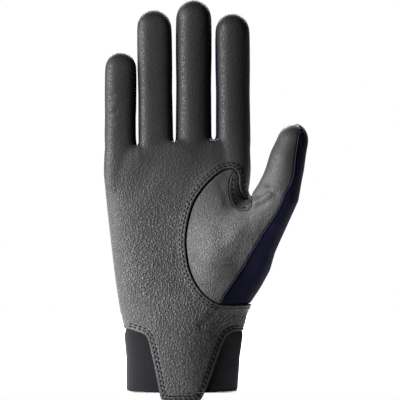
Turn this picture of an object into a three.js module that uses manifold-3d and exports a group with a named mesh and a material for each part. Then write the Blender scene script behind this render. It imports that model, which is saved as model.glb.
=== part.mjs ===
// A right-hand riding glove in the form it has when worn: a leather palm with a pull tab at the wrist,
// a fabric back, fabric gussets between the fingers, a set-in thumb of leather and fabric with a small
// gusset in its fork, and a knitted cuff. Every panel is a thin wall round the open inside of the hand.
// Millimetres. +Z runs from the cuff to the fingertips, the palm faces -Y and the thumb is at +X.
// The origin is the middle of the wrist opening, in the plane of the cuff's hem.

import * as THREE from "three";
import { mergeVertices } from "three/addons/utils/BufferGeometryUtils.js";
import Module from "manifold-3d";

const wasm = await Module();
wasm.setup();

// Driving dimensions
const leatherThickness = 1.2;
const fabricThickness = 1.1;
const cuffThickness = 1.8;
const seamGap = 0.3;
const wrist = { width: 66, depth: 42 };
const palm = { width: 87, depth: 28 };
const cuffHeight = 36;
const palmHeight = 114.5;
const cuffTuck = 7;
const hemRound = 0.8;
const fingers = {
  little: { across: -0.425, lean: 0.5, length: 53.1, width: 18.9, depth: 17 },
  ring: { across: -0.183, lean: -1, length: 78.2, width: 20.8, depth: 19 },
  middle: { across: 0.079, lean: 0.2, length: 84.2, width: 21.4, depth: 19.5 },
  index: { across: 0.352, lean: -0.9, length: 76.2, width: 20.8, depth: 19 },
};
const fingerCurl = 7;
const thumb = { width: 22.6, depth: 21, tipLength: 11.6 };
const forkDrop = 4;
const gusset = { width: 8.4, point: 13 };
const sideSeamBehind = 3.6;
const tab = { topWidth: 43.5, endWidth: 27, drop: 5.9, lean: 2.4, shoulder: 5, corner: 3.2 };

// Heights that follow from the driving dimensions, and a length past every outer face
const forkHeight = cuffHeight + palmHeight;
const topHeight = forkHeight + fingers.middle.length;
const beyond = 2 * palm.width;

// How finely the rounded forms are faceted
const palmSides = 36;
const fingerSides = 18;
const domeRings = 4;

// How square the rounded sections are: 2 is an ellipse, and more is squarer
const handSquareness = 2.5;
const fingerSquareness = 2.15;

// Sections of the hand from the hem up. up: share of forkHeight. left, right: shares of the width, and
// front, rear: shares of the depth, of the wrist or palm that the row names. hollow: how far the middle
// of the palm is drawn in, as a share of the front depth. dip: share of forkDrop by which the little
// finger's side is lower.
const handRows = [
  { up: 0, of: wrist, left: -0.495, right: 0.495, front: 0.5, rear: 0.5, hollow: 0, dip: 0 },
  { up: 0.13, of: wrist, left: -0.503, right: 0.518, front: 0.49, rear: 0.48, hollow: 0, dip: 0 },
  { up: 0.25, of: wrist, left: -0.529, right: 0.56, front: 0.455, rear: 0.43, hollow: 0, dip: 0 },
  { up: 0.34, of: palm, left: -0.428, right: 0.46, front: 0.68, rear: 0.57, hollow: 0.03, dip: 0 },
  { up: 0.44, of: palm, left: -0.456, right: 0.468, front: 0.68, rear: 0.52, hollow: 0.1, dip: 0 },
  { up: 0.55, of: palm, left: -0.48, right: 0.468, front: 0.62, rear: 0.49, hollow: 0.16, dip: 0 },
  { up: 0.67, of: palm, left: -0.504, right: 0.462, front: 0.55, rear: 0.47, hollow: 0.18, dip: 0 },
  { up: 0.79, of: palm, left: -0.526, right: 0.46, front: 0.475, rear: 0.45, hollow: 0.13, dip: 0.2 },
  { up: 0.9, of: palm, left: -0.532, right: 0.464, front: 0.41, rear: 0.4, hollow: 0.05, dip: 0.6 },
  { up: 0.97, of: palm, left: -0.531, right: 0.464, front: 0.33, rear: 0.33, hollow: 0, dip: 0.9 },
  { up: 1, of: palm, left: -0.525, right: 0.458, front: 0.24, rear: 0.24, hollow: 0, dip: 1 },
];
const dipStart = 0.12;
const dipFull = 0.3;
const rootBelowFork = 0.3;

// Sections of a finger from its root inside the palm to its rounded tip. along: share of that length.
// width: share of the finger's, front, rear: shares of half its depth, a little less at each joint.
const fingerRows = [
  { along: 0, width: 0.7, front: 0.95, rear: 0.95 },
  { along: 0.12, width: 0.95, front: 1.14, rear: 1.06 },
  { along: 0.32, width: 1.01, front: 1.05, rear: 1.01 },
  { along: 0.6, width: 0.98, front: 0.96, rear: 0.97 },
  { along: 0.8, width: 1, front: 0.98, rear: 0.98 },
  { along: 1, width: 0.985, front: 0.95, rear: 0.9 },
];
const tipRoundness = 0.56;

// The thumb's axis from the heel of the hand to the start of its rounded tip. across: share of the
// palm's width, forward: share of its depth, up: share of forkHeight. width, depth: shares of the thumb's.
const thumbRows = [
  { across: 0.3, forward: 0.02, up: 0.35, width: 1.14, depth: 0.95 },
  { across: 0.365, forward: 0.12, up: 0.44, width: 1.3, depth: 1.2 },
  { across: 0.43, forward: 0.24, up: 0.53, width: 1.36, depth: 1.3 },
  { across: 0.515, forward: 0.36, up: 0.62, width: 1.26, depth: 1.2 },
  { across: 0.6, forward: 0.5, up: 0.71, width: 1.2, depth: 1.08 },
  { across: 0.632, forward: 0.56, up: 0.75, width: 1.15, depth: 1 },
  { across: 0.661, forward: 0.62, up: 0.79, width: 1.17, depth: 1 },
  { across: 0.694, forward: 0.72, up: 0.86, width: 1.01, depth: 0.98 },
  { across: 0.72, forward: 0.78, up: 0.925, width: 0.95, depth: 0.95 },
  { across: 0.752, forward: 0.8, up: 0.985, width: 0.82, depth: 0.84 },
];
const thumbRoll = THREE.MathUtils.degToRad(-24);

// Seam lines as the palm is seen. across: share of the palm's width, up: share of forkHeight.
const thumbSeam = [
  { across: 0.257, up: 0.35 },
  { across: 0.165, up: 0.385 },
  { across: 0.095, up: 0.45 },
  { across: 0.048, up: 0.53 },
  { across: 0.034, up: 0.6 },
  { across: 0.046, up: 0.68 },
  { across: 0.088, up: 0.75 },
  { across: 0.155, up: 0.815 },
  { across: 0.232, up: 0.865 },
  { across: 0.31, up: 0.885 },
  { across: 0.352, up: 0.86 },
];
const quirkOutline = [
  { across: 0.335, up: 0.81 },
  { across: 0.325, up: 0.765 },
  { across: 0.35, up: 0.735 },
  { across: 0.4, up: 0.72 },
  { across: 0.45, up: 0.725 },
  { across: 0.475, up: 0.768 },
];
const thumbForkTop = { across: 0.478, up: 1.2 };
const backThumbSeam = [
  { across: 0.257, up: 0.35 },
  { across: 0.33, up: 0.5 },
  { across: 0.41, up: 0.65 },
  { across: 0.474, up: 0.755 },
];

// The seam between the thumb's leather and its fabric. forward: share of the palm's depth.
const thumbSideSeam = [
  { across: 0.22, forward: 0.68, up: 0.3 },
  { across: 0.257, forward: 0.68, up: 0.35 },
  { across: 0.37, forward: 0.72, up: 0.463 },
  { across: 0.46, forward: 0.74, up: 0.535 },
  { across: 0.545, forward: 0.8, up: 0.615 },
  { across: 0.615, forward: 0.88, up: 0.69 },
  { across: 0.683, forward: 0.96, up: 0.76 },
  { across: 0.73, forward: 0.985, up: 0.81 },
  { across: 0.757, forward: 1.05, up: 0.88 },
  { across: 0.778, forward: 1.07, up: 0.955 },
  { across: 0.82, forward: 1, up: 1.08 },
];
const thumbSeamSlant = THREE.MathUtils.degToRad(45);

const lerp = THREE.MathUtils.lerp;
const smooth = THREE.MathUtils.smoothstep;

// Solids from geometries

function solid(geometry) {
  const bare = new THREE.BufferGeometry().setAttribute("position", geometry.getAttribute("position"));
  if (geometry.index) bare.setIndex(geometry.index);
  const merged = mergeVertices(bare, 1e-4);
  return new wasm.Manifold(
    new wasm.Mesh({
      numProp: 3,
      vertProperties: new Float32Array(merged.attributes.position.array),
      triVerts: new Uint32Array(merged.index.array),
    }),
  );
}

function unite(solids) {
  return solids.reduce((all, next) => all.add(next));
}

// A closed skin over rings of points that are stacked upwards and run anticlockwise seen from above.
function loft(rings) {
  const sides = rings[0].length;
  const faces = [];
  for (let i = 0; i + 1 < rings.length; i++)
    for (let j = 0; j < sides; j++) {
      const a = i * sides + j;
      const b = i * sides + ((j + 1) % sides);
      faces.push(a, b, b + sides, a, b + sides, a + sides);
    }
  const last = (rings.length - 1) * sides;
  for (let j = 1; j + 1 < sides; j++) faces.push(0, j + 1, j, last, last + j, last + j + 1);
  return solid(new THREE.BufferGeometry().setFromPoints(rings.flat()).setIndex(faces));
}

// A rounded ring of points about a centre. side and back are unit vectors across and through the ring.
function ring({ centre, side, back, half, front, rear, squareness, sides, hollow = 0 }) {
  return Array.from({ length: sides }, (_, i) => {
    const turn = (2 * Math.PI * i) / sides;
    const rounded = (v) => Math.sign(v) * Math.abs(v) ** (2 / squareness);
    const across = rounded(Math.cos(turn));
    const through = rounded(Math.sin(turn));
    const depth = through < 0 ? front * (1 - hollow * (1 - across * across) ** 2) : rear;
    const point = centre.clone().addScaledVector(side, across * half);
    return point.addScaledVector(back, through * depth);
  });
}

const acrossHand = new THREE.Vector3(1, 0, 0);
const behindHand = new THREE.Vector3(0, 1, 0);

// How far forward the fingers have curled at a height
function curlAt(z) {
  const share = Math.max(0, z - forkHeight) / fingers.middle.length;
  return -fingerCurl * share * share;
}

// The forms of the hand. inset draws each one in, for the inside of a wall.

const handSections = handRows.map((row) => ({
  z: row.up * forkHeight,
  left: row.left * row.of.width,
  right: row.right * row.of.width,
  front: row.front * row.of.depth,
  rear: row.rear * row.of.depth,
  hollow: row.hollow,
  dip: row.dip * forkDrop,
}));

function handSectionAt(z) {
  const above = handSections.findIndex((section, i) => i > 0 && section.z >= z);
  const [low, high] = [handSections[above - 1], handSections[above]];
  const share = (z - low.z) / (high.z - low.z);
  return Object.fromEntries(Object.keys(low).map((key) => [key, lerp(low[key], high[key], share)]));
}

function handRing(section, { side = 0, front = side, rear = side } = {}) {
  const points = ring({
    centre: new THREE.Vector3((section.left + section.right) / 2, 0, section.z),
    side: acrossHand,
    back: behindHand,
    half: (section.right - section.left) / 2 - side,
    front: section.front - front,
    rear: section.rear - rear,
    squareness: handSquareness,
    sides: palmSides,
    hollow: section.hollow,
  });
  for (const p of points) p.z -= section.dip * smooth(-p.x, dipStart * palm.width, dipFull * palm.width);
  return points;
}

function handForm(inset) {
  const hem = { ...handSections[0], z: -tab.drop * (inset > 0 ? 2 : 1) };
  const fork = handSections.at(-1);
  const sections = [hem, ...handSections.slice(0, -1), { ...fork, z: fork.z - inset }];
  return loft(sections.map((section) => handRing(section, { side: inset })));
}

function fingerX(finger, z) {
  return finger.across * palm.width + finger.lean * ((z - forkHeight) / finger.length);
}

function fingerForm(finger, inset) {
  const root = forkHeight - rootBelowFork * palmHeight;
  const round = tipRoundness * finger.width;
  const shoulder = forkHeight + finger.length - round;
  const shaft = fingerRows.map((row) => ({ ...row, z: lerp(root, shoulder, row.along), size: 1 }));
  const end = fingerRows.at(-1);
  const tip = Array.from({ length: domeRings }, (_, i) => {
    const turn = (Math.PI / 2) * ((i + 1) / (domeRings + 0.35));
    return { ...end, z: shoulder + (round - inset) * Math.sin(turn), size: Math.cos(turn) };
  });
  return loft(
    [...shaft, ...tip].map(({ z, width, front, rear, size }) =>
      ring({
        centre: new THREE.Vector3(fingerX(finger, z), curlAt(z), z),
        side: acrossHand,
        back: behindHand,
        half: size * ((width * finger.width) / 2 - inset),
        front: size * ((front * finger.depth) / 2 - inset),
        rear: size * ((rear * finger.depth) / 2 - inset),
        squareness: fingerSquareness,
        sides: fingerSides,
      }),
    ),
  );
}

function thumbForm(inset) {
  const points = thumbRows.map(
    (row) => new THREE.Vector3(row.across * palm.width, -row.forward * palm.depth, row.up * forkHeight),
  );
  const shaft = thumbRows.map((row, i) => {
    const along = points[Math.min(i + 1, points.length - 1)].clone().sub(points[Math.max(i - 1, 0)]);
    return { ...row, point: points[i], along: along.normalize(), size: 1 };
  });
  const end = shaft.at(-1);
  const tip = Array.from({ length: domeRings }, (_, i) => {
    const turn = (Math.PI / 2) * ((i + 1) / (domeRings + 0.35));
    const point = end.point.clone().addScaledVector(end.along, (thumb.tipLength - inset) * Math.sin(turn));
    return { ...end, point, size: Math.cos(turn) };
  });
  return loft(
    [...shaft, ...tip].map(({ point, along, width, depth, size }) => {
      const side = new THREE.Vector3().crossVectors(behindHand, along).normalize();
      side.applyAxisAngle(along, thumbRoll);
      return ring({
        centre: point,
        side,
        back: new THREE.Vector3().crossVectors(along, side),
        half: size * ((width * thumb.width) / 2 - inset),
        front: size * ((depth * thumb.depth) / 2 - inset),
        rear: size * ((depth * thumb.depth) / 2 - inset),
        squareness: fingerSquareness,
        sides: fingerSides,
      });
    }),
  );
}

function gloveForm(inset) {
  const fingerForms = Object.values(fingers).map((finger) => fingerForm(finger, inset));
  return unite([handForm(inset), thumbForm(inset), ...fingerForms]);
}

// Regions that the panels are cut by

// An outline with each side moved outwards by grow
function grown(points, grow) {
  const count = points.length;
  const area = points.reduce((sum, [x, y], i) => {
    const [nextX, nextY] = points[(i + 1) % count];
    return sum + x * nextY - nextX * y;
  }, 0);
  return points.map(([x, y], i) => {
    const before = points[(i + count - 1) % count];
    const after = points[(i + 1) % count];
    const into = new THREE.Vector2(x - before[0], y - before[1]).normalize();
    const out = new THREE.Vector2(after[0] - x, after[1] - y).normalize();
    const normal = new THREE.Vector2(into.y + out.y, -into.x - out.x).normalize();
    const reach = (Math.sign(area) * grow) / Math.max(0.5, Math.sqrt((1 + into.dot(out)) / 2));
    return [x + normal.x * reach, y + normal.y * reach];
  });
}

function extruded(points, depth, axes) {
  const shape = new THREE.Shape(points.map(([x, y]) => new THREE.Vector2(x, y)));
  const geometry = new THREE.ExtrudeGeometry(shape, { depth, bevelEnabled: false });
  return geometry.applyMatrix4(new THREE.Matrix4().makeBasis(...axes));
}

const [unitX, unitY, unitZ] = [acrossHand, behindHand, new THREE.Vector3(0, 0, 1)];

// An outline of [x, z] as the palm is seen, carried from the front plane to the rear plane
function palmPrism(points, front, rear) {
  return solid(extruded(points, rear - front, [unitX, unitZ, unitY.clone().negate()]).translate(0, rear, 0));
}

// An outline of [y, z] as the thumb's side is seen, carried from the left plane to the right plane
function sidePrism(points, left, right) {
  return solid(extruded(points, right - left, [unitY, unitZ, unitX]).translate(left, 0, 0));
}

const placed = ({ across, up }) => [across * palm.width, up * forkHeight];

// All that lies in front of the seam down the outer sides of the hand, or behind it
function halfRegion(way) {
  const curled = [0, 0.25, 0.5, 0.75, 1, 1.2].map((share) => lerp(forkHeight, topHeight, share));
  const seam = [-beyond, ...curled].map((z) => [curlAt(z) + sideSeamBehind + (way * seamGap) / 2, z]);
  const far = [
    [way * beyond, seam.at(-1)[1]],
    [way * beyond, seam[0][1]],
  ];
  return sidePrism([...seam, ...far], -beyond, beyond);
}

// The strip between two fingers: down the near side of one, round the fork and up the other
function forkRegion(leftFinger, rightFinger, grow) {
  const leftX = fingerX(leftFinger, forkHeight);
  const rightX = fingerX(rightFinger, forkHeight);
  const middleX = (leftX + leftFinger.width / 2 + rightX - rightFinger.width / 2) / 2;
  const drop = forkDrop * smooth(-middleX, dipStart * palm.width, dipFull * palm.width);
  const bottom = forkHeight - drop - 2 * fabricThickness;
  const strip = (finger, left, right) => {
    const tip = forkHeight + finger.length - tipRoundness * finger.width * 0.6;
    const heights = [bottom, ...[0, 0.3, 0.6, 1].map((share) => lerp(forkHeight, tip - gusset.point, share))];
    const front = heights.map((z) => [curlAt(z) - gusset.width / 2, z]);
    const rear = heights.map((z) => [curlAt(z) + gusset.width / 2, z]);
    const point = [curlAt(tip) + sideSeamBehind, tip];
    return sidePrism(grown([...front, point, ...rear.reverse()], grow), left, right);
  };
  const into = 0.25;
  return unite([
    strip(leftFinger, leftX + into * leftFinger.width - grow, middleX + seamGap),
    strip(rightFinger, middleX - seamGap, rightX - into * rightFinger.width + grow),
  ]);
}

// Everything right of the seam that the thumb is set in with, on the palm side and behind
function thumbRegion(grow) {
  const bottom = placed(thumbSeam[0])[1];
  const far = [
    [beyond, 2 * forkHeight],
    [beyond, bottom],
  ];
  const palmSide = [...thumbSeam, ...quirkOutline, thumbForkTop].map(placed);
  const backSide = [...backThumbSeam, thumbForkTop].map(placed);
  const meet = 0.01;
  return palmPrism(grown([...palmSide, ...far], grow), -beyond, 0).add(
    palmPrism(grown([...backSide, ...far], grow), -meet, beyond),
  );
}

function quirkRegion(grow) {
  return palmPrism(grown(quirkOutline.map(placed), grow), -beyond, grow);
}

// Right of and behind the seam between the thumb's leather and its fabric
function thumbFabricRegion(grow) {
  const through = new THREE.Vector3(-Math.sin(thumbSeamSlant), Math.cos(thumbSeamSlant), 0);
  const rightward = new THREE.Vector3(Math.cos(thumbSeamSlant), Math.sin(thumbSeamSlant), 0);
  return loft(
    thumbSideSeam.map((row) => {
      const seam = new THREE.Vector3(row.across * palm.width, -row.forward * palm.depth, row.up * forkHeight);
      seam.addScaledVector(rightward, -grow);
      const corner = (s, t) => seam.clone().addScaledVector(through, s * beyond).addScaledVector(rightward, t * beyond);
      return [corner(-1, 0), corner(-1, 1), corner(1, 1), corner(1, 0)];
    }),
  );
}

// All that lies above the palm's lower edge: the wrist seam, with the pull tab hanging from it
function palmRegion() {
  const outline = new THREE.Path();
  const { topWidth, endWidth, drop, lean, shoulder, corner } = tab;
  const seam = cuffHeight;
  const sides = [-1, 1].map((way) => ({
    top: new THREE.Vector2(lean + (way * topWidth) / 2, seam - shoulder),
    end: new THREE.Vector2((way * endWidth) / 2, -drop + corner),
    way,
  }));
  const [left, right] = sides;
  outline.moveTo(-beyond, seam);
  outline.lineTo(left.top.x - shoulder, seam);
  outline.quadraticCurveTo(left.top.x, seam, left.top.x, left.top.y);
  outline.lineTo(left.end.x, left.end.y);
  outline.quadraticCurveTo(left.end.x + 0.3 * corner, -drop, left.end.x + corner, -drop);
  outline.lineTo(right.end.x - corner, -drop);
  outline.quadraticCurveTo(right.end.x - 0.3 * corner, -drop, right.end.x, right.end.y);
  outline.lineTo(right.top.x, right.top.y);
  outline.quadraticCurveTo(right.top.x, seam, right.top.x + shoulder, seam);
  outline.lineTo(beyond, seam);
  outline.lineTo(beyond, 2 * forkHeight);
  outline.lineTo(-beyond, 2 * forkHeight);
  return palmPrism(outline.getPoints(4).map((p) => [p.x, p.y]), -beyond, beyond);
}

function aboveCuff() {
  const corners = [
    [-beyond, cuffHeight],
    [beyond, cuffHeight],
    [beyond, 2 * forkHeight],
    [-beyond, 2 * forkHeight],
  ];
  return palmPrism(corners, -beyond, beyond);
}

// The panels

const outside = gloveForm(0);
const leatherWall = outside.subtract(gloveForm(leatherThickness));
const fabricWall = outside.subtract(gloveForm(fabricThickness));
const { little, ring: ringFinger, middle, index } = fingers;
const forks = { little_ring: [little, ringFinger], ring_middle: [ringFinger, middle], middle_index: [middle, index] };
const forkRegions = (grow) => unite(Object.values(forks).map(([left, right]) => forkRegion(left, right, grow)));

function palmLeather() {
  const taken = unite([thumbRegion(seamGap), quirkRegion(seamGap), forkRegions(seamGap)]);
  return leatherWall.intersect(halfRegion(-1)).intersect(palmRegion()).subtract(taken);
}

function backPanel() {
  const taken = unite([thumbRegion(seamGap), forkRegions(seamGap)]);
  return fabricWall.intersect(halfRegion(1)).intersect(aboveCuff()).subtract(taken);
}

function thumbLeather() {
  const taken = unite([thumbFabricRegion(seamGap), quirkRegion(seamGap)]);
  return leatherWall.intersect(thumbRegion(0)).subtract(taken);
}

function thumbBack() {
  return fabricWall.intersect(thumbRegion(0)).intersect(thumbFabricRegion(0)).subtract(quirkRegion(seamGap));
}

function thumbQuirk() {
  return leatherWall.intersect(quirkRegion(0));
}

function fourchette([leftFinger, rightFinger]) {
  return fabricWall.intersect(forkRegion(leftFinger, rightFinger, 0));
}

// A tube from the hem up to the wrist seam, drawn in above it where it is tucked behind the panels. Its
// front stands back by the thickness of the pull tab.
function cuffForm(inset, ends) {
  const behindTab = leatherThickness + 3 * seamGap;
  const tucked = leatherThickness + 2 * seamGap;
  const shoulder = cuffHeight - 4 * seamGap;
  const hem = handSectionAt(0);
  const rows = [
    { section: { ...hem, z: -ends }, drawn: hemRound },
    { section: handSectionAt(hemRound), drawn: 0 },
    ...handSections.slice(1).filter(({ z }) => z < shoulder).map((section) => ({ section, drawn: 0 })),
    { section: handSectionAt(shoulder), drawn: 0 },
    { section: handSectionAt(cuffHeight - seamGap), drawn: tucked },
    { section: handSectionAt(cuffHeight + cuffTuck), drawn: tucked },
  ];
  const top = rows.at(-1);
  top.section.z += ends;
  return loft(
    rows.map(({ section, drawn }) =>
      handRing(section, {
        side: inset + drawn,
        front: inset + Math.max(drawn, behindTab),
        rear: inset + drawn,
      }),
    ),
  );
}

function cuff() {
  return cuffForm(0, 0).subtract(cuffForm(cuffThickness, 1));
}

// Materials

const leather = { color: 0x4a4a4c, roughness: 0.55, metalness: 0 };
const thumbLeatherFinish = { color: 0x525254, roughness: 0.5, metalness: 0 };
const navyFabric = { color: 0x0c0c22, roughness: 0.85, metalness: 0 };
const blackKnit = { color: 0x1d1d20, roughness: 0.9, metalness: 0 };

// The largest body of a cut solid, without the slivers that a cut leaves beside it
function withoutSlivers(made) {
  return made.decompose().reduce((largest, body) => (body.volume() > largest.volume() ? body : largest));
}

function panel(name, made, finish) {
  const { numProp, vertProperties, triVerts } = withoutSlivers(made).getMesh();
  const positions = new Float32Array(3 * triVerts.length);
  triVerts.forEach((vertex, i) => {
    positions.set(vertProperties.subarray(vertex * numProp, vertex * numProp + 3), 3 * i);
  });
  const geometry = new THREE.BufferGeometry().setAttribute("position", new THREE.BufferAttribute(positions, 3));
  geometry.computeVertexNormals();
  const mesh = new THREE.Mesh(geometry, new THREE.MeshStandardMaterial(finish));
  mesh.name = name;
  return mesh;
}

const glove = new THREE.Group();
glove.add(panel("palm_leather", palmLeather(), leather));
glove.add(panel("thumb_leather", thumbLeather(), thumbLeatherFinish));
glove.add(panel("thumb_quirk", thumbQuirk(), thumbLeatherFinish));
glove.add(panel("thumb_back", thumbBack(), navyFabric));
glove.add(panel("back_panel", backPanel(), navyFabric));
for (const [between, pair] of Object.entries(forks))
  glove.add(panel(`fourchette_${between}`, fourchette(pair), navyFabric));
glove.add(panel("cuff", cuff(), blackKnit));

export default glove;
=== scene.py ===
# %% [markdown]
# # A riding glove, sewn in Blender
#
# A real glove is cut from leather and stretch fabric and sewn over the form of a hand. This lesson goes
# the same way: one smooth closed form, the seam lines over it, then the form cut along them into panels
# that get a thickness, turned edges, stitches and a finish. The frame says where it all sits.

import math

import bmesh
import bpy
import numpy as np
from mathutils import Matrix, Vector, noise
from mathutils.bvhtree import BVHTree
from mathutils.kdtree import KDTree


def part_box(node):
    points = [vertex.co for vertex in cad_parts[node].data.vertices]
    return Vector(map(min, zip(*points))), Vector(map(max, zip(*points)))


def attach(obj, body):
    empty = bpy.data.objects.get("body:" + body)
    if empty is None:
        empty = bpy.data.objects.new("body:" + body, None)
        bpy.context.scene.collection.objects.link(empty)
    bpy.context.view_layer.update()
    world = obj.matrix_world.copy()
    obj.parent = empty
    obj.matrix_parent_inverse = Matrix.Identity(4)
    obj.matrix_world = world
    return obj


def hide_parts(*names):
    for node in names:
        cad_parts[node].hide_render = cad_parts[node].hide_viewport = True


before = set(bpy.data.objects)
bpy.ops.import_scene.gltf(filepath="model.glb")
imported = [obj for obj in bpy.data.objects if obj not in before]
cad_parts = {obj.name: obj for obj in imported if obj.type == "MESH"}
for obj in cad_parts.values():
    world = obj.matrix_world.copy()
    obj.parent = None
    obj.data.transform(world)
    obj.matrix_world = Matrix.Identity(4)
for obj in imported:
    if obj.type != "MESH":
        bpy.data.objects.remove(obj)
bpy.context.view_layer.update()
palm_low, palm_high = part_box("palm_leather")
cuff_low, cuff_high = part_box("cuff")
MM = (palm_high.z - palm_low.z) / 240.5
print("the glove is", round((palm_high.z - palm_low.z) * 1000, 1), "mm from tab to fingertip")

# %% [markdown]
# ## Sizes
#
# A glove maker works from a few measures of the hand: the width and depth of the palm and the wrist, and
# the length of each finger. Everything below is a share of these, like a cutting chart. Left and right
# are as the palm is seen, and the palm faces the camera.

# %% Measures of the hand
wrist = {"width": 66 * MM, "depth": 42 * MM}
palm = {"width": 87 * MM, "depth": 28 * MM}
fork_height = 150.5 * MM
finger_curl = 7 * MM
fork_drop = 4 * MM
leather_thickness = 1.0 * MM
fabric_thickness = 0.8 * MM
voxel = 0.9 * MM


def table(columns, *rows):
    """Rows of values under named columns, as a dictionary for each row."""
    return [dict(zip(columns.split(), row)) for row in rows]


fingers = table(
    "name across lean length width depth square",
    ("little", -0.43, 0.5, 53.2 * MM, 19.2 * MM, 17 * MM, 3.0),
    ("ring", -0.183, -0.9, 78.4 * MM, 21.1 * MM, 19 * MM, 3.4),
    ("middle", 0.079, 0.1, 84.4 * MM, 21.8 * MM, 19.5 * MM, 2.5),
    ("index", 0.353, -0.6, 76.4 * MM, 21.1 * MM, 19 * MM, 2.4),
)
fingers = {finger["name"]: finger for finger in fingers}
thumb = {"width": 22.8 * MM, "depth": 21 * MM, "tip": 11.8 * MM}
top_height = fork_height + fingers["middle"]["length"]


def smooth_step(value, low, high):
    """0 below low, 1 above high, and an even curve between, for numbers and for whole arrays."""
    share = np.clip((np.asarray(value, float) - low) / (high - low), 0, 1)
    return share * share * (3 - 2 * share)


def curl_at(z):
    """How far forward the relaxed fingers have curled at a height."""
    share = np.maximum(0, np.asarray(z, float) - fork_height) / (top_height - fork_height)
    return -finger_curl * share**2


# %% [markdown]
# ## The form of the hand
#
# The form is grown from rounded sections. One disc is extruded from section to section into a closed
# tube, once for the palm, each finger and the thumb. The sections are superellipses, a little squarer
# than an ellipse, because a palm is flatter than an egg.

# %% A rounded section and a tube grown through such sections
ACROSS, BEHIND = Vector((1, 0, 0)), Vector((0, 1, 0))


def section(
    centre, half, front, rear, square=2.15, hollow=0.0, slope=0.0, side=ACROSS, back=BEHIND, count=32,
):
    """Points round one section. hollow draws the middle of its front in, slope its right side."""
    points = []
    for i in range(count):
        turn = 2 * math.pi * i / count
        across = math.copysign(abs(math.cos(turn)) ** (2 / square), math.cos(turn))
        through = math.copysign(abs(math.sin(turn)) ** (2 / square), math.sin(turn))
        depth = rear
        if through <= 0:
            depth = front * (1 - hollow * (1 - across * across) ** 2) * (1 - slope * max(0, across) ** 1.5)
        points.append(Vector(centre) + side * (across * half) + back * (through * depth))
    return points


def grow_tube(bm, sections):
    """A disc extruded from section to section, with its open end closed."""
    count = len(sections[0])
    disc = bmesh.ops.create_circle(bm, cap_ends=True, segments=count, radius=palm["width"])
    cap = disc["verts"][0].link_faces[0]
    for vert, point in zip(cap.verts, sections[0]):
        vert.co = point
    rim = list(cap.edges)
    for points in sections[1:]:
        cap = bmesh.ops.extrude_discrete_faces(bm, faces=[cap])["faces"][0]
        for vert, point in zip(cap.verts, points):
            vert.co = point
    bmesh.ops.holes_fill(bm, edges=[e for e in rim if e.is_valid], sides=count)


def dome(end, length, count=7):
    """Shares of the height and the width of the rings that round off a tip."""
    turns = [math.pi / 2 * (i + 1) / (count + 0.25) for i in range(count)]
    return [(end + length * math.sin(turn), math.cos(turn)) for turn in turns]


# %% The palm from below the hem to the forks
hand_rows = table(
    "up of left right front rear hollow square slope",
    (-0.05, wrist, -0.51, 0.506, 0.5, 0.5, 0, 2.3, 0.45),
    (0, wrist, -0.51, 0.506, 0.5, 0.5, 0, 2.3, 0.45),
    (0.13, wrist, -0.51, 0.524, 0.49, 0.48, 0, 2.4, 0.62),
    (0.25, wrist, -0.538, 0.568, 0.46, 0.43, 0, 2.5, 0.65),
    (0.34, palm, -0.437, 0.468, 0.68, 0.57, 0.03, 2.7, 0.42),
    (0.44, palm, -0.463, 0.494, 0.68, 0.52, 0.1, 2.9, 0),
    (0.55, palm, -0.486, 0.47, 0.62, 0.49, 0.16, 3, 0),
    (0.67, palm, -0.51, 0.463, 0.55, 0.47, 0.18, 3, 0),
    (0.79, palm, -0.532, 0.46, 0.475, 0.45, 0.13, 2.9, 0),
    (0.9, palm, -0.537, 0.46, 0.42, 0.42, 0.05, 2.7, 0),
    (0.97, palm, -0.53, 0.455, 0.385, 0.37, 0, 2.5, 0),
    (1, palm, -0.515, 0.44, 0.33, 0.3, 0, 2.5, 0),
)
dip_start, dip_full = 0.12 * palm["width"], 0.3 * palm["width"]
palm_points = 72


def palm_sections():
    for row in hand_rows:
        width, depth = row["of"]["width"], row["of"]["depth"]
        middle = (row["left"] + row["right"]) / 2 * width
        half = (row["right"] - row["left"]) / 2 * width
        points = section(
            (middle, 0, row["up"] * fork_height), half, row["front"] * depth, row["rear"] * depth,
            square=row["square"], hollow=row["hollow"], slope=row["slope"], count=palm_points,
        )
        dip = fork_drop * float(smooth_step(row["up"], 0.75, 1))
        for point in points:
            point.z -= dip * float(smooth_step(-point.x, dip_start, dip_full))
        yield points


# %% The fingers, each from inside the palm to its rounded tip
finger_rows = table(
    "along width front rear",
    (0, 0.7, 0.95, 0.95),
    (0.09, 0.92, 1.14, 1.06),
    (0.22, 1, 1.1, 1.04),
    (0.36, 1, 1.02, 1),
    (0.5, 0.99, 1, 1),
    (0.64, 0.975, 0.95, 0.97),
    (0.8, 1, 0.98, 0.98),
    (0.92, 1, 0.98, 0.93),
    (1, 0.99, 0.96, 0.9),
)
root_below_fork = 0.24 * fork_height
tip_roundness = 0.58


def finger_x(finger, z):
    """The middle of a finger at a height."""
    return finger["across"] * palm["width"] + finger["lean"] * MM * (z - fork_height) / finger["length"]


def finger_sections(finger):
    root = fork_height - root_below_fork
    round_length = tip_roundness * finger["width"]
    shoulder = fork_height + finger["length"] - round_length
    rows = [(root + row["along"] * (shoulder - root), 1.0, row) for row in finger_rows]
    rows += [(z, size, finger_rows[-1]) for z, size in dome(shoulder, round_length)]
    for z, size, row in rows:
        half, deep = size * finger["width"] / 2, size * finger["depth"] / 2
        yield section(
            (finger_x(finger, z), float(curl_at(z)), z),
            row["width"] * half, row["front"] * deep, row["rear"] * deep, square=finger["square"],
        )


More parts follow.
